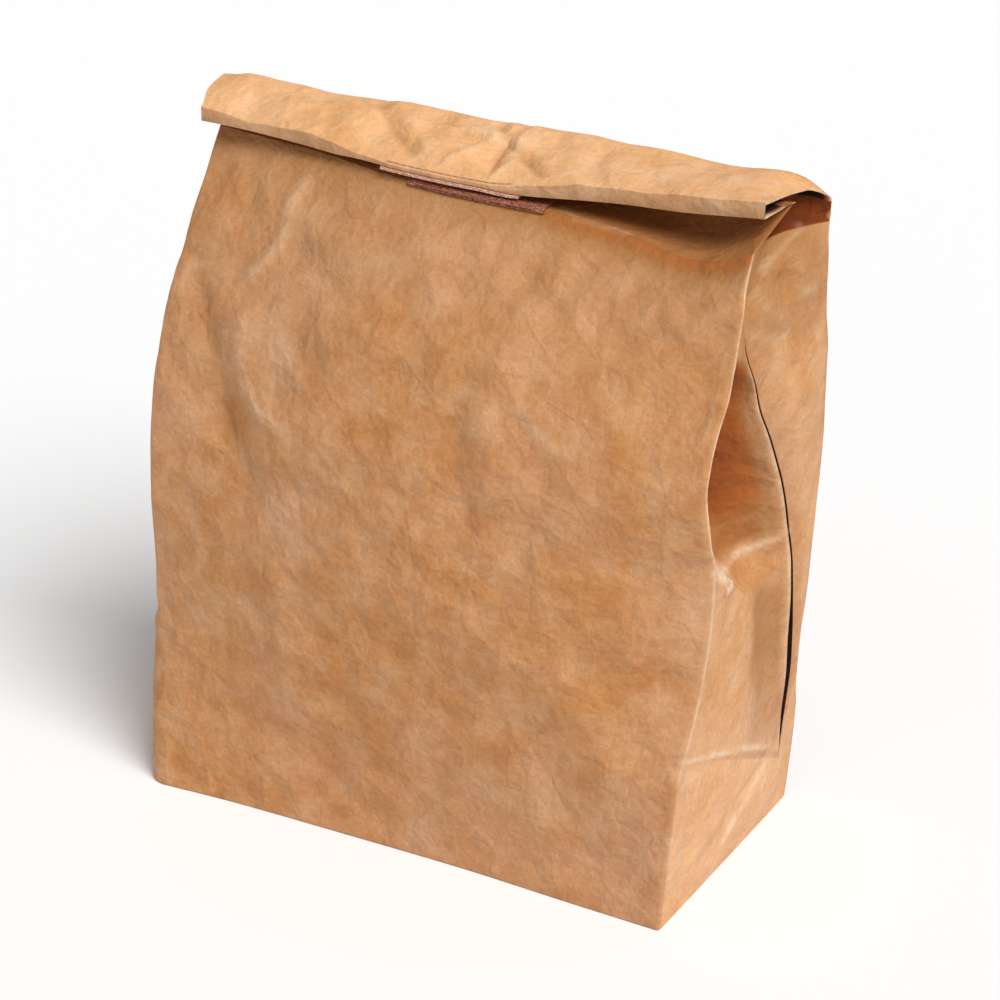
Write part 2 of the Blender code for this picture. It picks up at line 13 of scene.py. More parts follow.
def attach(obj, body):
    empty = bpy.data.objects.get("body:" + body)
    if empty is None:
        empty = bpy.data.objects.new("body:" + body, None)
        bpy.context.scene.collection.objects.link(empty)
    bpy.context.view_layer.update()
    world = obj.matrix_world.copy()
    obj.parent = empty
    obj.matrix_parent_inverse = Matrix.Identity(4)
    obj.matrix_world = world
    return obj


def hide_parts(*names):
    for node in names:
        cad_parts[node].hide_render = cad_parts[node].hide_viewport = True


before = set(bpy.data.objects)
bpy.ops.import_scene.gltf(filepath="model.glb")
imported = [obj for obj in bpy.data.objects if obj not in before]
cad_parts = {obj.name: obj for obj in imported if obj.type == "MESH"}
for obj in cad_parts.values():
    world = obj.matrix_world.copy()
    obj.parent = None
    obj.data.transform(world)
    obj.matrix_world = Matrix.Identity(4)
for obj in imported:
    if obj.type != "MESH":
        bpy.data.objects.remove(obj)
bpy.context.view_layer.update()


# The bag is one sheet of washable kraft paper, glued into a gusseted tube with a block bottom.
# It stands filled, with its top rolled forward into a flat strip and every panel creased by
# handling. Its skin is a stack of closed rings from the base up and forward to the roll's lip.

MOUTH_WIDTH = 0.2424
BASE_WIDTH = 0.2165
BASE_DEPTH = 0.1050
BASE_SKEW = 0.0040
ROLL_HEIGHT = 0.2550
ROLL_RISE = 0.0018
BLOCK_HEIGHT = 0.066
PANEL_SWELL = 0.008
BACK_SWELL = 0.005
BACK_LEAN = 0.0085
BASE_EDGE = 0.0010
BLOCK_SWELL = 0.0018
CREASE_DEPTH = 0.0016
CREASE_LENGTH = 0.055
CREASE_WIDTH = 0.013
LEFT_CORNER = 0.009
FRONT_CORNER = 0.0018
BACK_CORNER = 0.003
ROLL_LEFT = 0.0268
ROLL_MIDDLE = 0.0422
ROLL_RIGHT = 0.0408
ROLL_BEND = 0.005
BEND_FOOT = 0.012  # below the roll's top, where the back begins to bend
BEND_SHARE = 0.22  # of the roll's rows, for the bend alone
LEFT_ROUND = 0.0025
LIP_HEIGHT = 0.0062
LIP_LIFT = 0.0066
RIGHT_PULL = 0.0075
PAPER_EDGE = 0.0009
ROLL_DENT = 0.0028
SLOT_DEPTH = 0.011
TUCK_FOOT = 0.028
HOLLOW_DEPTH = 0.025
SLIT_DEPTH = 0.016
SLIT_MOUTH = 0.0007
SLIT_RIM_DEPTH = 0.0014
REAR_SWELL = 0.0009
SLOT_DROP = 0.0042
LEFT_TUCK_DEPTH = 0.012
UPPER_DENT = 0.0055
CRUMPLE_RISE = 0.028  # of a crumple's length
FOLD_STEPS = 8000  # to the metre, in which the depth of a fold is given
BAG_CENTRE = np.array([0.0, 0.00233, 0.0])


def through(knots, place):
    """Monotone cubic curve through (place, value) knots."""
    at, value = np.array(knots, dtype=float).T
    step = np.diff(at)
    slope = np.diff(value) / step
    product = slope[:-1] * slope[1:]
    total = slope[:-1] + slope[1:]
    inner = np.where(product > 0, 2 * product / np.where(total == 0, 1, total), 0)
    tangent = np.concatenate(([slope[0]], inner, [slope[-1]]))
    place = np.clip(place, at[0], at[-1])
    i = np.clip(np.searchsorted(at, place, side="right") - 1, 0, len(step) - 1)
    r = (place - at[i]) / step[i]
    rise = value[i] * (1 + 2 * r) * (1 - r) ** 2 + value[i + 1] * r ** 2 * (3 - 2 * r)
    bend = tangent[i] * r * (1 - r) ** 2 - tangent[i + 1] * r ** 2 * (1 - r)
    return rise + bend * step[i]


def ease(value, start, end):
    """Smooth step: with t from 0 at start to 1 at end, t * t * (3 - 2 * t)."""
    share = np.clip((value - start) / (end - start), 0, 1)
    return share * share * (3 - 2 * share)


def mix(first, second, share):
    """Straight blend: first + (second - first) * share."""
    return first + (second - first) * share


def half_width(share):
    """Half width for a share between the base width and the mouth width."""
    return mix(BASE_WIDTH, MOUTH_WIDTH, share) / 2


back_base_y = BASE_DEPTH / 2 + BASE_SKEW / 2
back_rim_y = back_base_y - BACK_LEAN


def rim_height(across):
    """Top of the roll above its bend at the back: level, with both ends drooping."""
    droop = through([(-1, 0.0030), (-0.8, 0.0017), (-0.2, 0.0008), (0.3, 0.0), (0.75, 0.0),
                     (0.91, -0.0012), (1, 0.0040)], across)
    return ROLL_HEIGHT + ROLL_RISE - droop


def lip_y(across):
    """Front edge of the roll: the back rim less a depth that is largest at the middle."""
    depth = through([(-1, ROLL_LEFT), (-0.6, mix(ROLL_LEFT, ROLL_MIDDLE, 0.35)),
                     (-0.25, mix(ROLL_LEFT, ROLL_MIDDLE, 0.9)), (0, ROLL_MIDDLE),
                     (0.55, mix(ROLL_MIDDLE, ROLL_RIGHT, 0.8) - 0.0012), (1, ROLL_RIGHT)], across)
    return back_rim_y - depth


def lip_top(across):
    """Upper crease of the lip: pressed down over the tape and lifted at the right."""
    lift = through([(-1, -0.9), (-0.4, -0.95), (-0.25, -1.08), (0.08, -1.05), (0.24, -0.62),
                    (0.5, 0.0), (0.75, 0.45), (1, 1.0)], across)
    return ROLL_HEIGHT + lift * LIP_LIFT


def lip_bottom(across):
    """Lower crease of the lip: the upper crease less a gap that nearly shuts over the tape."""
    gap = through([(-1, 0.85), (-0.9, 0.75), (-0.5, 0.6), (-0.27, 0.2), (0.05, 0.2), (0.24, 0.66),
                   (0.5, 0.84), (0.75, 0.98), (1, 1)], across)
    return lip_top(across) - LIP_HEIGHT * gap


def inner_corner(across):
    """Corner under the roll where its lower layer meets the front panel, as y and z."""
    y = lip_y(across) + through([(-1, 0.018), (0, 0.027), (1, 0.0205)], across)
    z = lip_bottom(across) - through([(-1, 0.004), (0, 0.0015), (1, 0.001)], across)
    return y, z


def shoulder(across):
    """Rounded top of the front panel, under the roll, as y and z."""
    y = lip_y(across) + through([(-1, 0.0085), (-0.5, 0.003), (0, 0.0004), (0.5, -0.0015),
                                 (0.84, -0.0065), (1, -0.0075)], across)
    z = ROLL_HEIGHT - through([(-1, 0.0155), (-0.6, 0.0135), (-0.36, 0.0123), (0.25, 0.0123),
                               (0.5, 0.0145), (0.78, 0.0178), (0.9, 0.0155), (1, 0.0105)], across)
    return y, z


def base_front_y(across):
    """Front line of the base, a little askew and hollow towards the left."""
    forward = through([(-1, -0.75), (-0.65, -1.05), (-0.2, -0.8), (0.22, -0.45), (0.64, 0.35),
                       (1, 1.0)], across)
    return -BASE_DEPTH / 2 + BASE_SKEW / 2 - BASE_SKEW * forward


def panel_creases(across, height, kept):
    """Soft tent-shaped creases at scattered places and angles, fading out at the panel's edges."""
    depth = 0 * across * height
    for i in kept:
        from_left = MOUTH_WIDTH * (across / 2 + 0.5 - (0.618 * i) % 1)
        from_base = height - ROLL_HEIGHT * ((0.755 * i) % 1)
        angle = math.pi * ((0.570 * i) % 1)
        along = from_left * math.cos(angle) + from_base * math.sin(angle)
        aside = from_base * math.cos(angle) - from_left * math.sin(angle)
        ridge = np.clip(1 - np.abs(aside) / CREASE_WIDTH, 0, 1)
        depth = depth + (-1) ** i * ridge * np.clip(1 - (along / CREASE_LENGTH) ** 2, 0, 1)
    top = ROLL_HEIGHT - CREASE_WIDTH
    inside = ease(np.abs(across), 1.0, 0.8) * ease(height, 0, CREASE_WIDTH)
    return CREASE_DEPTH * depth * inside * ease(height, top, top * 0.9)


def front_lean(rise, across):
    """Share of the way from the base line to the shoulder line, at each height."""
    left = through([(0, 0), (0.13, 0.06), (0.266, 0.135), (0.3, 0.145), (0.367, 0.17),
                    (0.437, 0.165), (0.505, 0.175), (0.57, 0.195), (0.633, 0.23), (0.724, 0.31),
                    (0.778, 0.41), (0.83, 0.525), (0.88, 0.66), (0.93, 0.8), (1, 1)], rise)
    right = through([(0, 0), (0.147, 0.08), (0.24, 0.115), (0.27, 0.18), (0.376, 0.35),
                     (0.486, 0.40), (0.56, 0.43), (0.61, 0.354), (0.687, 0.317), (0.72, 0.356),
                     (0.77, 0.46), (0.815, 0.615), (0.88, 0.72), (0.957, 0.84), (1, 1)], rise)
    middle = through([(0, 0), (0.27, 0.03), (0.41, 0.07), (0.62, 0.16), (0.79, 0.35),
                      (0.89, 0.60), (0.955, 0.80), (1, 1)], rise)
    edges = mix(left, right, (across + 1) / 2)
    return mix(middle, edges, np.abs(across) ** 2.2)


def corner_round(across, width, left, right):
    """Quarter circle that takes an upright edge back from its sharp corner."""
    radius = np.where(across < 0, left, right)
    inside = np.clip(radius - width * (1 - np.abs(across)), 0, radius)
    return radius - np.sqrt(radius ** 2 - inside ** 2)


def front_panel(rows, across):
    """Front line of each ring: base line to shoulder, then under the roll to the lip."""
    y_top, z_top = shoulder(across)
    y_in, z_in = inner_corner(across)
    z_block = rows["block"][:, None] * BLOCK_HEIGHT + 0 * across
    z_wall = mix(BLOCK_HEIGHT, z_top, rows["wall"][:, None])
    z = np.vstack([z_block, z_wall])
    rise = z / z_top
    y = mix(base_front_y(across), y_top, front_lean(rise, across))
    swell = through([(0, 0), (0.27, 0.35), (0.5, 1), (0.72, 0.9), (0.92, 0.3), (1, 0)], rise)
    y = y - PANEL_SWELL * swell * (1 - across ** 2) + panel_creases(across, z, range(1, 29))
    left = half_width(through([(0, 0.3), (0.03, 0.36), (0.26, 0.47), (0.295, 0.22), (0.33, 0.26),
                               (0.43, 0.35), (0.57, 0.41), (0.72, 0.42), (0.83, 0.45),
                               (0.93, 0.54), (1, 0.58)], rise))
    right = half_width(through([(0, -0.14), (0.27, 0.12), (0.376, 0.29), (0.486, 0.46),
                                (0.6, 0.46), (0.7, 0.375), (0.8, 0.42), (0.9, 0.46),
                                (1, 0.33)], rise))
    x = mix(-left, right, (across + 1) / 2)
    low = 1 - ease(z, BLOCK_HEIGHT * 0.85, BLOCK_HEIGHT * 1.15)
    y = y + corner_round(across, half_width(0.3), mix(FRONT_CORNER, LEFT_CORNER, low),
                         FRONT_CORNER)

    q = rows["shoulder"][:, None]
    rounding = corner_round(across, half_width(1), FRONT_CORNER, FRONT_CORNER)
    y_turn = mix(y_top, y_in, q) + rounding * (1 - q)
    z_turn = mix(z_top, z_in, q ** mix(4.0, 1.0, ease(across, 0.7, 1.0)))
    pulled = half_width(1) - RIGHT_PULL
    x_turn = mix(-mix(half_width(0.58), half_width(0.95), q),
                 mix(half_width(0.33), pulled + 0.002, q), (across + 1) / 2)

    w = rows["roll"][:, None]
    y_roll = mix(y_in, lip_y(across), w)
    z_roll = mix(z_in, lip_bottom(across), w)
    x_left = half_width(0.95) - LEFT_ROUND * ease(w, 0.5, 1)
    x_roll = mix(-x_left, mix(pulled + 0.002, pulled, w), (across + 1) / 2)
    return np.stack([np.vstack([x, x_turn, x_roll]), np.vstack([y, y_turn, y_roll]),
                     np.vstack([z, z_turn, z_roll])], axis=-1)


def roll_dents(across, share):
    """Dimple, pointed crumple and pinch pressed into the roll, as bell curves of depth."""
    dimple = np.exp(-((across + 0.36) / 0.05) ** 2 - ((share - 0.55) / 0.3) ** 2)
    ridge = np.abs(across - 0.01 - 0.13 * (share - 0.5))
    star = np.exp(-(ridge / 0.06) ** 2) * ease(share, 0.15, 0.5)
    pinch = np.exp(-((across - 0.36) / 0.03) ** 2 - ((share - 0.35) / 0.25) ** 2)
    return ROLL_DENT * (0.8 * dimple + star + 0.5 * pinch)


def back_panel(rows, across):
    """Back line of each ring: up the back, round the bend and forward over the roll."""
    top = rim_height(across)
    z_block = rows["block"][:, None] * BLOCK_HEIGHT + 0 * across
    z_wall = mix(BLOCK_HEIGHT, top - BEND_FOOT, rows["wall"][:, None])
    z_turn = mix(top - BEND_FOOT, top - ROLL_BEND, rows["shoulder"][:, None])
    z = np.vstack([z_block, z_wall, z_turn])
    rise = z / top
    lean = through([(0, 0), (0.16, 0), (0.2, 0.27), (0.24, 0.4), (0.3, 0.36), (0.38, 0.58),
                    (0.5, 0.58), (0.57, 0.42), (0.63, 0.33), (0.69, 0.38), (0.75, 0.5),
                    (0.82, 0.75), (0.94, 0.95), (1, 1)], rise)
    y = back_base_y - BACK_LEAN * lean
    swell = through([(0, 0), (0.25, 0.8), (0.5, 1), (0.8, 0.5), (1, 0)], rise)
    y = y + BACK_SWELL * swell * (1 - across ** 2) + panel_creases(across, z, range(29, 57))
    rounding = corner_round(across, half_width(0.6), BACK_CORNER, BACK_CORNER)
    y = y - rounding * (1 - ease(rise, 0.9, 1))
    width = half_width(through([(0, 0), (0.05, 0.11), (0.1, 0.2), (0.18, 0.28), (0.235, 0.38),
                                (0.3, 0.48), (0.37, 0.65), (0.44, 0.74), (0.5, 0.82),
                                (0.57, 0.9), (0.69, 0.95), (0.8, 1), (1, 1)], rise))
    x = across * width

    w = rows["roll"][:, None]
    turn = np.clip(w / BEND_SHARE, 0, 1)
    angle = turn * math.pi / 2
    along = np.clip((w - BEND_SHARE) / (1 - BEND_SHARE), 0, 1)
    y_bend = back_rim_y - ROLL_BEND * (1 - np.cos(angle))
    z_bend = top - ROLL_BEND * (1 - np.sin(angle))
    crown = 4 * along * (1 - along) * through([(-1, 0.0012), (0, 0.0016), (1, 0.0004)], across)
    dent = roll_dents(across, along) * ease(along, 0, 0.2) * (1 - ease(along, 0.7, 0.9))
    y_roll = mix(y_bend, lip_y(across), along)
    z_roll = mix(z_bend, lip_top(across), along) + crown - dent
    reach = ease(turn, 0.2, 1)
    x_left = mix(half_width(1), half_width(0.95), along) - LEFT_ROUND * ease(along, 0.5, 1)
    x_roll = mix(-x_left, half_width(1) - RIGHT_PULL * reach, (across + 1) / 2)
    return np.stack([np.vstack([x, x_roll]), np.vstack([y, y_roll]), np.vstack([z, z_roll])],
                    axis=-1)


def between(marks, places):
    """Values at places between numbered marks along the last axis, by straight blends."""
    first = np.minimum(places.astype(int), marks.shape[-1] - 2)
    return mix(marks[..., first], marks[..., first + 1], places - first)


def gusset(rows, front, back, side, places, slit_knots, hollow_knots, band_knots):
    """Gusset between the front and back lines: blends of the two, pressed in by its tuck.

    Each ring has fifteen marks from front to back, gathered round the slit, and the places say
    how finely the stretches between the marks are divided.
    """
    block, wall = rows["block"], rows["wall"]
    low = len(block)
    high = low + len(wall)
    even = places[None, :] / 14

    climb = np.concatenate([0 * block, wall])
    slit = through(slit_knots, climb)
    start = slit + SLIT_MOUTH / (back[:high, 1] - front[:high, 1])
    before = np.array([0, 0.03, 0.07, 0.17, 0.31, 0.46, 0.61, 0.76, 0.9, 0.993, 1.0])
    after = np.array([0.0, 0.4, 0.75, 1.0])
    marks = np.concatenate([slit[:, None] * before, mix(start[:, None], 1.0, after)], axis=1)
    share = mix(between(marks, places), even, ease(climb, 0.88, 1.0)[:, None])
    point = mix(front[:high, None, :], back[:high, None, :], share[..., None])
    tent = np.minimum(share / slit[0], (1 - share) / (1 - slit[0]))
    crease = BLOCK_HEIGHT - (BLOCK_HEIGHT - TUCK_FOOT) * np.clip(tent, 0, 1)
    crest = mix(front[high - 1, 2], back[high - 1, 2], share)
    point[:low, :, 2] = block[:, None] * crease[:low]
    point[low:, :, 2] = mix(crease[low:], crest[low:], wall[:, None])
    point[:, 0, 2] = front[:high, 2]
    point[:, -1, 2] = back[:high, 2]

    # How much of each press the fifteen marks take: the hollow, the brown band in front of the
    # slit, the slit itself, its front rim, and the swelling behind it.
    hollow = np.array([0, 0.4, 0.8, 1, 0.94, 0.8, 0.63, 0.44, 0.22, 0.05, 0.05, 0.04, 0, 0, 0])
    band = np.array([0, 0, 0, 0, 0, 0.15, 0.6, 1, 0.7, 0.05, 0, 0, 0, 0, 0])
    gap = np.array([0, 0, 0, 0, 0, 0, 0, 0, 0, 0.02, 1, 0.06, 0, 0, 0])
    slit_rim = np.array([0, 0, 0, 0, 0, 0, 0, 0, 0, 1, 0, 0, 0, 0, 0])
    rear = np.array([0, 0, 0, 0, 0, 0, 0, 0, 0, 0, 0, 0.3, 1, 0.8, 0])
    index = np.arange(15)
    foot = through([(0, -0.075), (2, -0.05), (4.5, 0.035), (6, 0.04), (9, -0.02), (14, 0)], places)
    lowered = (climb[:, None]
               + foot * ease(climb, 0.7, 0.5)[:, None] * ease(climb, 0.1, 0.3)[:, None])
    recess = through(hollow_knots, lowered) * through(list(zip(index, hollow)), places)
    recess = recess + through(band_knots, climb)[:, None] * through(list(zip(index, band)), places)
    gate = np.where(np.arange(high) < low, 0, 1)
    opened = through([(0, 0.1), (0.03, 0.7), (0.1, 1), (0.76, 1), (0.82, 0.5), (0.85, 0)], climb)
    recess = recess + (SLIT_DEPTH * opened * gate)[:, None] * between(gap, places)
    agape = SLIT_RIM_DEPTH * through([(0.01, 0), (0.06, 1), (0.22, 1), (0.34, 0.3), (0.8, 0)],
                                     climb)
    recess = recess + (agape * gate)[:, None] * between(slit_rim, places)
    recess = recess - (REAR_SWELL * opened * gate)[:, None] * through(list(zip(index, rear)),
                                                                      places)
    slack = UPPER_DENT * ease(climb, 0.84, 0.93)[:, None] * np.sin(math.pi * even)
    block_rise = np.concatenate([block, 1 + 0 * wall])
    swell = (BLOCK_SWELL * 4 * block_rise * (1 - block_rise))[:, None] * np.sin(math.pi * share)
    point[..., 0] -= side * (recess + slack - swell)

    # Above the wall the open end of the roll is a slot between the outer and inner turns of paper.
    head_front, head_back = front[high:], back[high:]
    length = np.linalg.norm(head_back - head_front, axis=1)
    edge = np.clip(PAPER_EDGE / length, 0.02, 0.3)[:, None]
    middle = mix(edge * 1.02, 1 - edge * 1.02, np.linspace(0, 1, 11)[None, :])
    slot = between(np.hstack([0 * edge, edge, middle, 1 - edge, 0 * edge + 1]), places)
    wall_depth = np.array([0, 0, 0.6, 1, 1, 1, 1, 1, 1, 1, 1, 1, 0.6, 0, 0])
    turned = np.concatenate([rows["shoulder"], 0 * rows["roll"] + 2])[:, None]
    blend = ease(turned, 0.1, 0.8)
    share = mix(even, slot, blend)
    head = mix(head_front[:, None, :], head_back[:, None, :], share[..., None])
    inner = np.array([[side * (1 - SLOT_DEPTH / half_width(1))]])
    inner_front = front_panel(rows, inner)[high:]
    inner_back = back_panel(rows, inner)[high:]
    deep = ease(turned, 0.05, 0.35)
    deep[-1] = 0
    shape = mix(np.sin(math.pi * even) ** 0.5, between(wall_depth, places), blend)
    head = mix(head, mix(inner_front, inner_back, share[..., None]), (deep * shape)[..., None])
    bend = np.concatenate([1 + 0 * rows["shoulder"], 1 - ease(rows["roll"], 0.2, 0.4)])[:, None]
    head[..., 2] -= SLOT_DROP * deep * shape * ease(share, 0.5, 0.9) * bend
    rest = UPPER_DENT * (1 - ease(turned, 0.3, 1.0)) * np.sin(math.pi * even)
    head[..., 0] -= side * rest
    return np.concatenate([point, head])[:, 1:-1]


def divided(counts):
    """Places between numbered marks, with the given number of steps from each to the next."""
    steps = [i + np.arange(count) / count for i, count in enumerate(counts)]
    return np.concatenate(steps + [[len(counts)]])


half = np.concatenate([np.linspace(0, 0.945, 58), np.linspace(0.952, 1.0, 14)])
stations = np.concatenate([-half[:0:-1], half])[None, :]
bag_rows = {
    "block": np.concatenate([[0, 0.006, 0.02, 0.045], np.linspace(0.08, 0.94, 38),
                             [0.96, 0.975, 0.99]]),
    "wall": np.concatenate([[0, 0.005, 0.012, 0.02], np.linspace(0.03, 0.97, 118),
                            [0.978, 0.986, 0.993, 1.0]]),
    "shoulder": np.linspace(0, 1, 19)[1:],
    "roll": np.concatenate([np.linspace(0.02, BEND_SHARE, 10), np.linspace(0.24, 0.96, 34),
                            [0.975, 0.988, 1.0]]),
}
front = front_panel(bag_rows, stations)
back = back_panel(bag_rows, stations)
right_places = np.sort(np.concatenate([divided([3, 3, 6, 8, 9, 9, 9, 8, 5, 3, 3, 3, 5, 5]),
                                       [0.12, 8.97, 9.08, 10.95, 11.04]]))
right = gusset(bag_rows, front[:, -1], back[:, -1], 1, right_places,
               [(0, 0.84), (0.08, 0.89), (0.22, 0.856), (0.34, 0.807), (0.43, 0.753),
                (0.545, 0.675), (0.63, 0.555), (0.74, 0.3), (0.86, 0.05), (1, 0.05)],
               [(0, 0), (0.1, 0.0005), (0.28, 0.001), (0.365, 0.002), (0.40, HOLLOW_DEPTH * 0.4),
                (0.46, HOLLOW_DEPTH * 0.85), (0.53, HOLLOW_DEPTH), (0.68, HOLLOW_DEPTH),
                (0.73, HOLLOW_DEPTH * 0.75), (0.78, HOLLOW_DEPTH * 0.2), (0.82, 0)],
               [(0, 0), (0.08, 0.002), (0.25, 0.004), (0.4, 0.003), (0.5, 0)])
left_places = divided([2, 2, 3, 4, 4, 4, 4, 4, 3, 2, 2, 6, 5, 5])
left = gusset(bag_rows, front[:, 0], back[:, 0], -1, left_places,
              [(0, 0.5), (0.4, 0.52), (0.8, 0.5), (1, 0.5)],
              [(0, 0), (0.2, LEFT_TUCK_DEPTH * 0.4), (0.5, LEFT_TUCK_DEPTH),
               (0.8, LEFT_TUCK_DEPTH * 0.6), (0.95, 0)],
              [(0, 0), (0.5, 0.001), (1, 0)])
rings = np.concatenate([front, right, back[:, ::-1], left[:, ::-1]], axis=1)
rings[0, :, 0] *= 1 - BASE_EDGE / (BASE_WIDTH / 2)
rings[0, :, 1] *= 1 - BASE_EDGE / (BASE_DEPTH / 2)
rings -= BAG_CENTRE
right_places = right_places[1:-1]
left_places = left_places[-2:0:-1]


def ring_normals(grid):
    """Unit normals of a stack of closed rings: steps along a ring crossed with steps up."""
    along = np.roll(grid, -1, axis=1) - np.roll(grid, 1, axis=1)
    up = np.gradient(grid, axis=0)
    normal = np.cross(along, up)
    return normal / np.maximum(np.linalg.norm(normal, axis=-1, keepdims=True), 1e-12)


def nearness(points, path, width):
    """1 on a path, falling in a straight line to 0 at the given width from it."""
    nearest = np.full(points.shape[:-1], np.inf)
    for start, end in zip(path[:-1], path[1:]):
        run = end - start
        share = np.clip((points - start) @ run / (run @ run), 0, 1)
        off = points - start - share[..., None] * run
        nearest = np.minimum(nearest, np.einsum("...i,...i", off, off))
    return np.clip(1 - np.sqrt(nearest) / width, 0, 1)


low_row = len(bag_rows["block"])
high_row = low_row + len(bag_rows["wall"])
roll_row = high_row + len(bag_rows["shoulder"])
count = stations.shape[1]
right_part = slice(count, count + right.shape[1])
back_part = slice(right_part.stop, right_part.stop + count)
left_part = slice(back_part.stop, rings.shape[1])
climb = np.concatenate([np.zeros(low_row), bag_rows["wall"], np.full(len(rings) - high_row, 1.0)])

# How freely the paper may crumple: not at its base, in the slit, under the roll or at the tape.
# The columns crowd together where the hollow narrows and above the slit, and are freed late there.
loose = np.ones(rings.shape[:2])
loose[:low_row] *= ease(bag_rows["block"], 0, 0.15)[:, None]
loose[:, :count] *= through([(-1, 0.4), (-0.93, 1), (0.93, 1), (1, 0.2)], stations[0])
loose[:, :count] *= mix(1, 0.1, ease(climb, 0.9, 1.0))[:, None]
loose[:, right_part] *= mix(
    through([(0, 0.1), (1.5, 0.3), (3, 1), (7.5, 1), (8.6, 0), (11.4, 0), (12.5, 1), (14, 0.4)],
            right_places)
    * (1 - ease(climb, 0.68, 0.76)[:, None] * through([(0, 1), (9, 1), (11, 0)], right_places)),
    through([(0, 0.1), (1.5, 1), (12.5, 1), (14, 0.3)], right_places),
    ease(climb[:, None], 0.89, through([(0, 0.94), (8, 0.94), (9, 0.99), (11, 0.99), (12, 0.94)],
                                       right_places)))
loose[:, left_part] *= through([(0, 0.3), (3, 1), (8, 1), (9, 0), (11.4, 0), (13, 1)], left_places)
loose[high_row:roll_row, right_part] *= 0.3
loose[high_row - 12:roll_row, back_part] *= np.linspace(1, 0.3, roll_row - high_row + 12)[:, None]
loose[roll_row:, right_part] = 0
loose[roll_row:, back_part] *= through([(-1, 0.3), (-0.9, 1), (0.8, 1), (0.9, 0)],
                                       stations[0, ::-1])
loose[roll_row:, back_part] *= mix(0.3, 1, ease(bag_rows["roll"], 0.0, 0.25))[:, None]
loose[:, back_part] *= through([(-1, 0.3), (-0.9, 1), (0.9, 1), (1, 0.3)], stations[0])
loose[high_row:, left_part] = 0
tape_line = np.array([(-38, 3, 247), (38, 1, 247)]) / 1000
near_tape = np.where(np.arange(rings.shape[1]) < count, 0.014, 0.009)
loose *= 1 - ease(nearness(rings, tape_line, near_tape), 0, 0.5)

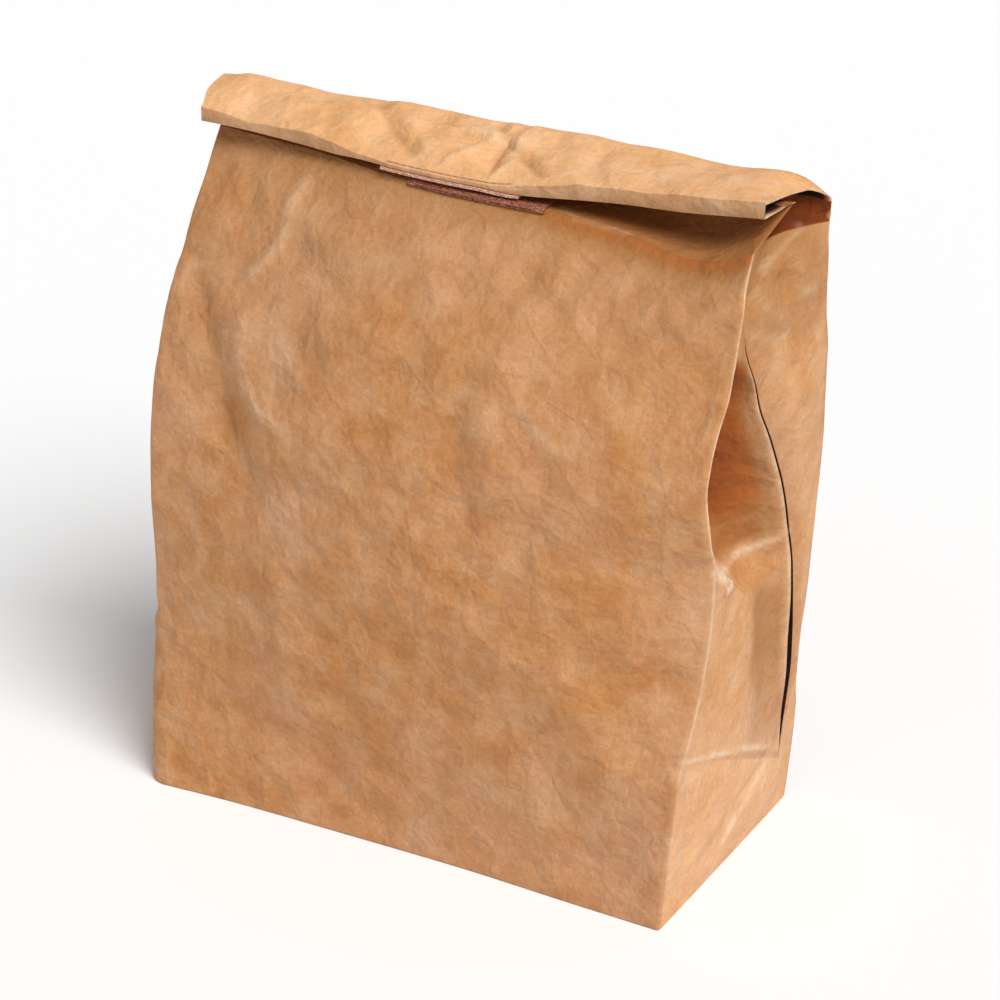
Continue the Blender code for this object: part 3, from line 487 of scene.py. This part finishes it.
# Folds and dents seen on the front, the right side and the roll, as points in millimetres, with
# the width of each flank in millimetres, the depth in eighths of a millimetre (raised where
# negative) and how far the fold is rubbed pale or lit by a painted highlight.
folds = [
    ([(-68, 6, 234), (-70, -2, 225), (-69, -8, 217), (-71, -12, 212), (-78, -17, 204)],
     7, -12, 0.22),
    ([(-96, 17, 236), (-88, 1, 222)], 6, 9, 0),
    ([(-114, -6, 203), (-100, -11, 205), (-92, -12, 206)], 5, 8, 0),
    ([(-103, -15, 198), (-90, -27, 183), (-83, -34, 168), (-80, -37, 150)], 8, 14, 0),
    ([(-68, -25, 196), (-64, -23, 200)], 4, 8, 0),
    ([(-76, -27, 190), (-72, -36, 169), (-64, -39, 162), (-52, -43, 159)], 7, -12, 0.22),
    ([(-58, -31, 189), (-49, -38, 179), (-45, -40, 175)], 5, -8, 0.22),
    ([(-30, -39, 184), (-12, -34, 200)], 10, -13, 0),
    ([(-57, -39, 171), (-53, -43, 160)], 4, 6, 0),
    ([(36, -8, 233), (34, -18, 222), (28, -24, 216)], 8, 12, 0),
    ([(55, -8, 231), (50, -17, 221), (45, -20, 218)], 9, 13, 0),
    ([(26, -28, 211), (28, -34, 202), (21, -42, 184), (15, -44, 176)], 8, 11, 0),
    ([(109, -25, 199), (110, -30, 192), (108, -36, 176)], 3, -4, 0.2),
    ([(41, -40, 186), (56, -43, 174)], 6, -8, 0.22),
    ([(112, -12, 233), (93, -15, 223)], 4, 6, 0),
    ([(34, 8, 242), (42, 3, 241), (57, 3, 240), (62, 3, 240)], 3, -4, 0.35),
    ([(-53, 37, 255), (-42, 24, 253), (-28, 12, 251)], 5, 15, 0),
    ([(-37, 30, 255), (-31, 22, 254), (-21, 11, 251)], 5, -9, 0.1),
    ([(-26, 34, 256), (-14, 26, 254)], 3, 8, 0),
    ([(4, 39, 256), (2, 27, 254), (3, 10, 250)], 3.5, 20, 0),
    ([(-5, 38, 256), (2, 27, 254), (10, 22, 254), (26, 8, 252)], 3.5, 20, 0),
    ([(-1, 30, 255), (-7, 18, 252), (-12, 8, 250)], 4, -14, 0.3),
    ([(8, 27, 255), (12, 14, 252), (8, 4, 250)], 4, -14, 0.3),
    ([(2, 27, 254), (-12, 30, 255), (-20, 28, 255)], 4, -12, 0.2),
    ([(19, 37, 257), (28, 22, 256), (32, 8, 253)], 3, 6, 0),
    ([(37, 37, 257), (43, 18, 256), (51, 7, 255)], 3, 6, 0),
    ([(-74, 35, 255), (-64, 21, 253), (-61, 10, 249)], 6, 6, 0),
    ([(-103, 35, 255), (-95, 22, 252), (-96, 14, 249)], 5, 6, 0),
    ([(59, 34, 257), (66, 16, 257), (76, 6, 257)], 4, 5, 0),
    ([(111, 12, 235), (115, 15, 227), (115, 22, 232)], 9, 24, 0),
    ([(115, 23, 234), (117, 25, 229), (118, 25, 220), (119, 33, 219)], 5, -14, 0.15),
    ([(112, -2, 228), (115, 6, 221), (117, 11, 216)], 6, -14, 0.12),
    ([(114, -12, 219), (117, 6, 210), (121, 41, 199)], 3, 7, 0.15),
    ([(114, 32, 242), (113, 22, 238), (111, 10, 233)], 4, -6, 0.2),
    ([(113, -11, 130), (113, 9, 127), (117, 26, 126)], 4, 12, 0.35),
    ([(114, -33, 136), (113, -5, 128), (113, -22, 124), (113, 9, 123)], 4, -10, 0.75),
    ([(109, -46, 65), (110, -29, 59), (112, -1, 48), (112, 30, 34)], 3, -6, 0.55),
    ([(112, 30, 34), (109, -28, 15)], 6, 9, 0.1),
    ([(112, 30, 34), (110, -13, 15)], 5, -9, 0.4),
    ([(112, 30, 34), (112, 0, 26)], 4, 8, 0.1),
    ([(112, 30, 34), (112, 18, 21)], 3, -7, 0.35),
    ([(109, -46, 65), (109, -38, 40), (107, -45, 12)], 5, 7, 0.15),
]


def crumple(points, first, last):
    """Facets of crumpled paper: tent waves |2 frac(p . d / length) - 1| in scattered directions.

    Each wave has its own length and fades in and out along a slow sine, so that no crease runs on.
    """
    bent = points + 0.006 * np.sin(points[..., [1, 2, 0]] * 55 + [0.3, 1.7, 4.1])
    total = np.zeros(points.shape[:-1])
    for i in range(first, last):
        turned, rise = 2.4 * i, 2 * ((0.618 * i) % 1) - 1
        level = math.sqrt(1 - rise * rise)
        way = np.array([level * math.cos(turned), level * math.sin(turned), rise])
        length = mix(0.022, 0.056, (0.755 * i) % 1)
        wave = np.abs(2 * ((bent @ way / length + 0.57 * i) % 1) - 1)
        fade = ease(np.sin(bent @ np.roll(way, 1) * 90 + 1.9 * i), -0.3, 0.8)
        total += length * (wave - 0.5) * fade
    return total


normals = ring_normals(rings)
calmer_low = through([(0, 0.4), (0.45, 0.55), (0.75, 1)], climb)[:, None]
relief = CRUMPLE_RISE * crumple(rings, 1, 15) * calmer_low
wear_and_highlight = np.zeros(rings.shape[:2])
painted_crease_shade = np.zeros(rings.shape[:2])
for path, width, depth, wear in folds:
    near = nearness(rings, np.array(path) / 1000, width / 1000)
    relief -= depth / FOLD_STEPS * near
    wear_and_highlight = np.maximum(wear_and_highlight, wear * ease(near, 0.4, 1.0))
    # Painted shade along the valleys of the folds, darker for deeper folds.
    painted_crease_shade = np.maximum(painted_crease_shade, 0.012 * depth * ease(near, 0.3, 1.0))
rows_up = ease(climb, 0, 0.02)[:, None]
# Painted highlights where edges catch the light: the front-right edge, the fin and rim beside the
# slit, the paper edges at the roll's open end and the lip's top row.
wear_and_highlight[:high_row, count - 1] = through([(0, 0.35), (0.3, 0.5), (0.5, 0.7)], climb[:high_row])
slit_rows = (rows_up * ease(climb[:, None], 0.86, 0.8))[:high_row]
wear_and_highlight[:high_row, right_part] = np.maximum(wear_and_highlight[:high_row, right_part], slit_rows * through(
    [(0.3, 0.5), (0.6, 0), (8.5, 0), (8.9, 0.4), (9.0, 0.4), (9.1, 0)], right_places))
wear_and_highlight[roll_row:, right_part] = through([(0, 0.5), (1, 0.5), (1.3, 0), (12.7, 0), (13, 0.5)],
                                      right_places)
wear_and_highlight[-1] = 0.15

# The tuck's buckle: a crease across the right gusset, its crumple beside the front edge lit by a
# painted highlight.
buckle = through([(0, 0.42), (1, 0.40), (2, 0.38), (4.2, 0.37), (6.5, 0.40), (9, 0.445)],
                 right_places)
above_buckle = climb[:, None] - buckle
on_buckle = np.clip(1 - np.abs(above_buckle) / through([(0, 0.022), (3, 0.02), (4.5, 0.009)],
                                                       right_places), 0, 1)
wear_and_highlight[:, right_part] = np.maximum(wear_and_highlight[:, right_part], on_buckle * through(
    [(0, 0.3), (0.6, 0.8), (3.2, 0.8), (4.5, 0.5), (8.4, 0.4), (8.8, 0)], right_places))

# Painted shade: darker paper where shade falls, in the hollow, the slit, the open end of the roll,
# under the roll and down the front's top.
painted_shade = np.zeros(rings.shape[:2])
depth_of = through([(0.3, 0), (0.9, 1), (4.5, 1), (6, 0.85), (7.5, 0.6), (8.3, 0.25), (8.7, 0)],
                   right_places)
height_of = through([(0.38, 0), (0.42, 0.25), (0.47, 0.7), (0.54, 1), (0.78, 1), (0.82, 0)], climb)
painted_shade[:, right_part] = 0.78 * depth_of * height_of[:, None]
# Painted shade above the buckle, under the hollow's overhang.
buckle_shade = ease(above_buckle, 0.0, 0.025) * ease(above_buckle, 0.3, 0.0)
painted_shade[:, right_part] = np.maximum(painted_shade[:, right_part], 0.42 * buckle_shade * through(
    [(3.0, 0), (4.8, 1), (7.0, 1), (8.8, 0.2)], right_places))
# Painted shade on the band in front of the slit.
band_of = through([(5.5, 0), (6.2, 1), (8.0, 1), (8.5, 0)], right_places)
painted_shade[:, right_part] += 0.3 * band_of * through([(0.01, 0), (0.13, 0.45), (0.24, 1), (0.3, 1),
                                                 (0.36, 0)], climb)[:, None]
# Painted shade, near black, inside the slit.
inside = through([(9.0, 0), (9.08, 1), (11, 1), (11.04, 0)], right_places)
painted_shade[:high_row, right_part] = np.maximum(painted_shade[:high_row, right_part], inside * slit_rows)
# Painted shade on the upper right side, under the roll's overhang.
upper = ease(climb, 0.8, 0.88)[:, None] * through([(0, 1), (8, 1), (12.5, 0.6), (14, 0.2)],
                                                  right_places)
painted_shade[:, right_part] = np.maximum(painted_shade[:, right_part], 0.32 * upper)
# Painted shade in the pocket under the roll's open end, and near black inside the open end.
painted_shade[high_row:roll_row, right_part] = 0.8
painted_shade[roll_row:, right_part] = through([(1, 0.1), (1.4, 1), (12.6, 1), (13, 0.1)], right_places)
# Painted shade on the front panel's top, under the roll.
painted_shade[:, :count] = ease(climb, 0.93, 1.0)[:, None] * through([(-1, 0.2), (0, 0.2), (0.4, 0.36),
                                                              (1, 0.36)], stations[0])

painted_shade = np.maximum(painted_shade, painted_crease_shade)
# Painted shade on the upper part of the front wall, towards the roll.
painted_shade[low_row:high_row, :count] += 0.08 * ease(bag_rows["wall"], 0.55, 0.85)[:, None]

# Painted light: lighter where the key light falls, on the roll's top, the right side's rear half
# and lower front half, a facet beside the front edge above the buckle, the low side and the lip's
# top row.
painted_light = np.zeros(rings.shape[:2])
painted_light[roll_row:, back_part] = ease(bag_rows["roll"], 0.0, 0.25)[:, None]
painted_light[:, right_part] = 0.5 * through([(11.2, 0), (12, 1)], right_places) * ease(
    climb, 0.85, 0.75)[:, None]
painted_light[:, right_part] += 0.5 * through([(0, 1), (5.5, 1), (6.5, 0)], right_places) * ease(
    climb, 0.38, 0.3)[:, None]
slope_top = through([(0, 0.62), (2.5, 0.52), (5.2, 0.38)], right_places)
painted_light[:, right_part] += 0.5 * ease(climb[:, None] - slope_top, 0.01, -0.01) * ease(
    climb, 0.36, 0.38)[:, None] * through([(0, 1), (4.8, 1), (5.3, 0)], right_places)
painted_light[:low_row, right_part] = 0.7
painted_light[-1] = 0.25
rings = rings + normals * (relief * loose)[..., None]


def closed_skin(grid):
    """Quads between neighbouring rings, and quads and fans that close the first and last."""
    rows, around = grid.shape[:2]
    index = np.arange(rows * around).reshape(rows, around)
    ahead = np.roll(index, -1, axis=1)
    faces = np.stack([index[:-1], ahead[:-1], ahead[1:], index[1:]], axis=-1).reshape(-1, 4)
    faces = faces.tolist()
    count = stations.shape[1]
    right_count = right.shape[1]
    for ring, turned in ((index[0], True), (index[-1], False)):
        fore = ring[:count]
        aft = ring[count + right_count:2 * count + right_count][::-1]
        cap = np.stack([fore[1:-2], fore[2:-1], aft[2:-1], aft[1:-2]], axis=-1).tolist()
        right_side = [fore[-1], *ring[count:count + right_count], aft[-1]]
        left_side = [fore[0], *ring[2 * count + right_count:][::-1], aft[0]]
        cap += [[fore[-2], a, b] for a, b in zip(right_side[:-1], right_side[1:])]
        cap += [[fore[-2], aft[-1], aft[-2]]]
        cap += [[fore[1], b, a] for a, b in zip(left_side[:-1], left_side[1:])]
        cap += [[fore[1], aft[1], aft[0]]]
        faces += [face[::-1] for face in cap] if turned else cap
    return faces


def add_piece(name, points, faces, material, smooth_angle):
    """Mesh object from points and faces, with its soft folds shaded smooth."""
    mesh = bpy.data.meshes.new(name)
    mesh.from_pydata(np.asarray(points).reshape(-1, 3).tolist(), [], faces)
    mesh.materials.append(material)
    mesh.shade_smooth()
    mesh.set_sharp_from_angle(angle=math.radians(smooth_angle))
    piece = bpy.data.objects.new(name, mesh)
    bpy.context.scene.collection.objects.link(piece)
    return piece


def linear(colour):
    """Linear RGBA of an sRGB hex: ((c + 0.055) / 1.055) ** 2.4, or c / 12.92 below 0.04045."""
    parts = [int(colour[i:i + 2], 16) / 255 for i in (1, 3, 5)]
    return [((c + 0.055) / 1.055) ** 2.4 if c > 0.04045 else c / 12.92 for c in parts] + [1.0]


def add_node(material, kind, inputs=(), **settings):
    """Add a node, give it its settings, and set each named input or link it to a socket."""
    tree = material.node_tree
    node = tree.nodes.new(kind)
    for field, value in settings.items():
        setattr(node, field, value)
    for socket, value in inputs:
        if isinstance(value, bpy.types.NodeSocket):
            tree.links.new(value, node.inputs[socket])
        else:
            node.inputs[socket].default_value = value
    return node


def new_material(name, **values):
    """Material with a Principled BSDF whose plain sockets are set by name."""
    material = bpy.data.materials.new(name)
    material.use_nodes = True
    shader = material.node_tree.nodes["Principled BSDF"]
    for socket, value in values.items():
        shader.inputs[socket.replace("_", " ")].default_value = value
    return material, shader


def set_ramp(node, stops):
    """Give a colour ramp its stops, each a place and an sRGB hex."""
    elements = node.color_ramp.elements
    while len(elements) < len(stops):
        elements.new(0.5)
    for element, (place, colour) in zip(elements, stops):
        element.position = place
        element.color = linear(colour)


# Washable kraft paper: latex-bound cellulose, dyed brown, with a satin face. Handling leaves it
# mottled orange, finely crinkled, with folds that are rubbed pale; broad pinkish patches are a
# painted sheen.
# Sizes of the patterns, as 1000 / scale: blots 17 mm across in clouds of 67 mm, facets of 14 mm,
# crinkles of 5 mm, wrinkles of 26 mm that branch down to 1 mm, and fibres of 1.25 mm, which are
# drawn coarser than real ones so that they show. A wander of 18 mm bends all but the clouds and
# the fibres, by up to 5 mm.
paper, paper_shader = new_material("washable_kraft_paper", IOR=1.45,
                                   Specular_IOR_Level=0.35)
place = add_node(paper, "ShaderNodeTexCoord").outputs["Object"]
wander = add_node(paper, "ShaderNodeTexNoise", [("Vector", place), ("Scale", 55.0),
                                                ("Detail", 3.0)])
bent_place = add_node(paper, "ShaderNodeVectorMath", [
    (0, wander.outputs["Color"]), (1, (0.005, 0.005, 0.005)), (2, place)],
    operation="MULTIPLY_ADD").outputs[0]
blots = add_node(paper, "ShaderNodeTexNoise", [("Vector", bent_place), ("Scale", 60.0),
                                               ("Detail", 9.0), ("Roughness", 0.78)])
tone = add_node(paper, "ShaderNodeValToRGB", [("Fac", blots.outputs["Fac"])])
set_ramp(tone, [(0.32, "#af6f39"), (0.5, "#bd8450"), (0.66, "#c8966a")])
# Painted sheen: broad pinkish patches at random, standing in for the satin face's reflection.
broad = add_node(paper, "ShaderNodeTexNoise", [("Vector", place), ("Scale", 15.0), ("Detail", 5.0),
                                               ("Roughness", 0.6)])
painted_sheen = add_node(paper, "ShaderNodeMapRange", [("Value", broad.outputs["Fac"]), ("From Min", 0.40),
                                               ("From Max", 0.66), ("To Max", 0.4)])
with_painted_sheen = add_node(paper, "ShaderNodeMix", [("Factor", painted_sheen.outputs[0]),
                                           ("A", tone.outputs["Color"]),
                                           ("B", linear("#cc9f80"))], data_type="RGBA")
# Painted light: the attribute adds a pale tan where light falls.
painted_light_mark = add_node(paper, "ShaderNodeAttribute", attribute_name="painted_light")
painted_light_tone = add_node(paper, "ShaderNodeMix", [("Factor", painted_light_mark.outputs["Fac"]),
                                          ("A", (0.0, 0.0, 0.0, 1.0)), ("B", linear("#826d50"))],
                 data_type="RGBA")
with_painted_light = add_node(paper, "ShaderNodeVectorMath", [(0, with_painted_sheen.outputs["Result"]),
                                                  (1, painted_light_tone.outputs["Result"])], operation="ADD")
# Painted shade: the attribute mixes the paper towards a ramp of browns that ends near black.
painted_shade_mark = add_node(paper, "ShaderNodeAttribute", attribute_name="painted_shade")
painted_shade_tone = add_node(paper, "ShaderNodeValToRGB", [("Fac", painted_shade_mark.outputs["Fac"])])
set_ramp(painted_shade_tone, [(0.0, "#a97b50"), (0.3, "#a2713f"), (0.5, "#a3581f"), (0.8, "#74330b"),
                      (1.0, "#1d0d05")])
painted_shade_share = add_node(paper, "ShaderNodeMapRange", [("Value", painted_shade_mark.outputs["Fac"]),
                                                     ("From Max", 0.4)])
with_painted_shade = add_node(paper, "ShaderNodeMix", [("Factor", painted_shade_share.outputs[0]),
                                            ("A", with_painted_light.outputs[0]),
                                            ("B", painted_shade_tone.outputs["Color"])], data_type="RGBA")
creased = add_node(paper, "ShaderNodeTexVoronoi", [("Vector", bent_place), ("Scale", 70.0)],
                   feature="DISTANCE_TO_EDGE")
crinkled = add_node(paper, "ShaderNodeTexVoronoi", [("Vector", bent_place), ("Scale", 210.0)],
                    feature="DISTANCE_TO_EDGE")
ridges = add_node(paper, "ShaderNodeTexNoise", [("Vector", bent_place), ("Scale", 38.0),
                                                ("Detail", 5.0), ("Roughness", 0.6)],
                  noise_type="RIDGED_MULTIFRACTAL")
grain = add_node(paper, "ShaderNodeTexNoise", [("Vector", place), ("Scale", 800.0),
                                               ("Detail", 3.0), ("Roughness", 0.7)])
grain_tone = add_node(paper, "ShaderNodeMapRange", [("Value", grain.outputs["Fac"]),
                                                    ("From Min", 0.3), ("From Max", 0.7),
                                                    ("To Min", 0.90), ("To Max", 1.10)])
flecked = add_node(paper, "ShaderNodeVectorMath", [(0, with_painted_shade.outputs["Result"]),
                                                   ("Scale", grain_tone.outputs[0])],
                   operation="SCALE")
# Wear and painted highlight: rubbed fold ridges and edges that catch the light turn pale.
wear_and_highlight_mark = add_node(paper, "ShaderNodeAttribute", attribute_name="wear_and_highlight")
patchy = add_node(paper, "ShaderNodeMapRange", [("Value", blots.outputs["Fac"]),
                                                ("From Min", 0.38), ("From Max", 0.6),
                                                ("To Min", 0.35)])
rub_and_highlight = add_node(paper, "ShaderNodeMath", [(0, wear_and_highlight_mark.outputs["Fac"]), (1, patchy.outputs[0])],
               operation="MULTIPLY")
rubbed_and_highlighted = add_node(paper, "ShaderNodeMix", [("Factor", rub_and_highlight.outputs[0]), ("A", flecked.outputs[0]),
                                           ("B", linear("#f7e2c2"))], data_type="RGBA")
# The bump's height in millimetres: facets with raised crests, crinkles, fibres and wrinkles.
fibres = add_node(paper, "ShaderNodeMath", [(0, grain.outputs["Fac"]), (1, 0.10)],
                  operation="MULTIPLY")
facet_height = add_node(paper, "ShaderNodeMath", [
    (0, creased.outputs["Distance"]), (1, -2.0), (2, fibres.outputs[0])],
    operation="MULTIPLY_ADD")
height = add_node(paper, "ShaderNodeMath", [
    (0, crinkled.outputs["Distance"]), (1, 0.6), (2, facet_height.outputs[0])],
    operation="MULTIPLY_ADD")
wrinkled = add_node(paper, "ShaderNodeMath", [
    (0, ridges.outputs["Fac"]), (1, 0.5), (2, height.outputs[0])], operation="MULTIPLY_ADD")
bump = add_node(paper, "ShaderNodeBump", [("Height", wrinkled.outputs[0]), ("Strength", 1.0),
                                          ("Distance", 0.001)])
gloss = add_node(paper, "ShaderNodeMapRange", [("Value", blots.outputs["Fac"]), ("From Min", 0.35),
                                               ("From Max", 0.65), ("To Min", 0.66),
                                               ("To Max", 0.46)])
duller = add_node(paper, "ShaderNodeMath", [(0, painted_shade_mark.outputs["Fac"]), (1, 0.45),
                                            (2, gloss.outputs[0])], operation="MULTIPLY_ADD",
                  use_clamp=True)
for socket, source in (("Base Color", rubbed_and_highlighted.outputs["Result"]),
                       ("Normal", bump.outputs["Normal"]),
                       ("Roughness", duller.outputs[0])):
    paper.node_tree.links.new(source, paper_shader.inputs[socket])

bag = add_piece("bag_paper", rings, closed_skin(rings), paper, 38)
for mark_name, mark in (("wear_and_highlight", wear_and_highlight), ("painted_shade", painted_shade), ("painted_light", painted_light)):
    bag.data.attributes.new(mark_name, "FLOAT", "POINT").data.foreach_set(
        "value", mark.astype(np.float32).ravel())
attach(bag, "root")
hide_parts("bag_body")


# The closing tape is a woven hook strip under the roll's lip and a loop strip on the front panel,
# each held by a row of stitches. They are plain solids here, and only their finish is set: a
# pinkish weave for the hooks, a darker fuzz for the loops and smooth thread in two browns.
def woven(name, stops):
    """Tape of fuzz 0.8 mm fine, coarser than real hooks and loops, in the given tones."""
    tape, tape_shader = new_material(name, Roughness=0.9)
    tape_place = add_node(tape, "ShaderNodeTexCoord").outputs["Object"]
    fuzz = add_node(tape, "ShaderNodeTexNoise", [("Vector", tape_place), ("Scale", 1300.0),
                                                 ("Detail", 3.0)])
    tape_tone = add_node(tape, "ShaderNodeValToRGB", [("Fac", fuzz.outputs["Fac"])])
    set_ramp(tape_tone, stops)
    tape_bump = add_node(tape, "ShaderNodeBump", [("Height", fuzz.outputs["Fac"]),
                                                  ("Strength", 1.0), ("Distance", 0.0006)])
    tape.node_tree.links.new(tape_tone.outputs["Color"], tape_shader.inputs["Base Color"])
    tape.node_tree.links.new(tape_bump.outputs["Normal"], tape_shader.inputs["Normal"])
    return tape


hook_tape = woven("pinkish_woven_tape", [(0.3, "#a3664f"), (0.5, "#d39f85"), (0.7, "#efc8ae")])
loop_tape = woven("brown_looped_tape", [(0.3, "#502619"), (0.5, "#905038"), (0.7, "#bd8064")])
pale_thread, _ = new_material("pale_sewing_thread", Roughness=0.8, Base_Color=linear("#cfa27a"))
brown_thread, _ = new_material("brown_sewing_thread", Roughness=0.8, Base_Color=linear("#8a5140"))
for node_name, finish in (("hook_strip", hook_tape), ("loop_strip", loop_tape),
                          ("hook_strip_thread", pale_thread), ("loop_strip_thread", brown_thread)):
    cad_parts[node_name].material_slots[0].material = finish


# White paper sweep under and behind the bag, with a soft daylight key from the upper right.
SWEEP = 6
FILL_STRENGTH = 0.36
KEY_STRENGTH = 2.9
KEY_SPREAD = 35
KEY_DIRECTION = (0.52, -0.30, 0.80)
floor_material, _ = new_material("white_sweep", Roughness=1.0, Base_Color=linear("#f3f3f3"))
floor = add_piece("floor", [(-SWEEP, -SWEEP, 0), (SWEEP, -SWEEP, 0), (SWEEP, SWEEP, 0),
                            (-SWEEP, SWEEP, 0)], [(0, 1, 2, 3)], floor_material, 30)
world = bpy.data.worlds.new("studio")
bpy.context.scene.world = world
world.use_nodes = True
world.node_tree.nodes["Background"].inputs["Color"].default_value = (1, 1, 1, 1)
seen = add_node(world, "ShaderNodeLightPath")
mirrored = add_node(world, "ShaderNodeMath", [(0, seen.outputs["Is Camera Ray"]),
                                              (1, seen.outputs["Is Glossy Ray"])],
                    operation="MAXIMUM")
strength = add_node(world, "ShaderNodeMapRange", [("Value", mirrored.outputs[0]),
                                                  ("To Min", FILL_STRENGTH), ("To Max", 1.0)])
world.node_tree.links.new(strength.outputs[0], world.node_tree.nodes["Background"].inputs[1])
key = bpy.data.lights.new("key", "SUN")
key.energy = KEY_STRENGTH
key.angle = math.radians(KEY_SPREAD)
key_object = bpy.data.objects.new("key", key)
key_object.rotation_euler = Vector(KEY_DIRECTION).to_track_quat("Z", "Y").to_euler()
bpy.context.scene.collection.objects.link(key_object)


# The camera stands where the photograph was taken: to the right of the front and above it.
turn, lift, distance = 0.473, 0.472, 1.5899
target = Vector((0.0147, 0.0, 0.12726)) - Vector(BAG_CENTRE)
behind = Vector((math.sin(turn) * math.cos(lift), -math.cos(turn) * math.cos(lift),
                 math.sin(lift)))
sideways = (-behind).cross(Vector((0, 0, 1))).normalized()
upwards = sideways.cross(-behind)
camera = bpy.data.cameras.new("camera")
camera.sensor_width = 36.0
camera.lens = 157.77
camera_object = bpy.data.objects.new("camera", camera)
camera_object.matrix_world = Matrix.Translation(target + behind * distance) @ Matrix(
    (sideways, upwards, behind)).transposed().to_4x4()
bpy.context.scene.collection.objects.link(camera_object)
bpy.context.scene.camera = camera_object
bpy.context.scene.view_settings.view_transform = "Standard"
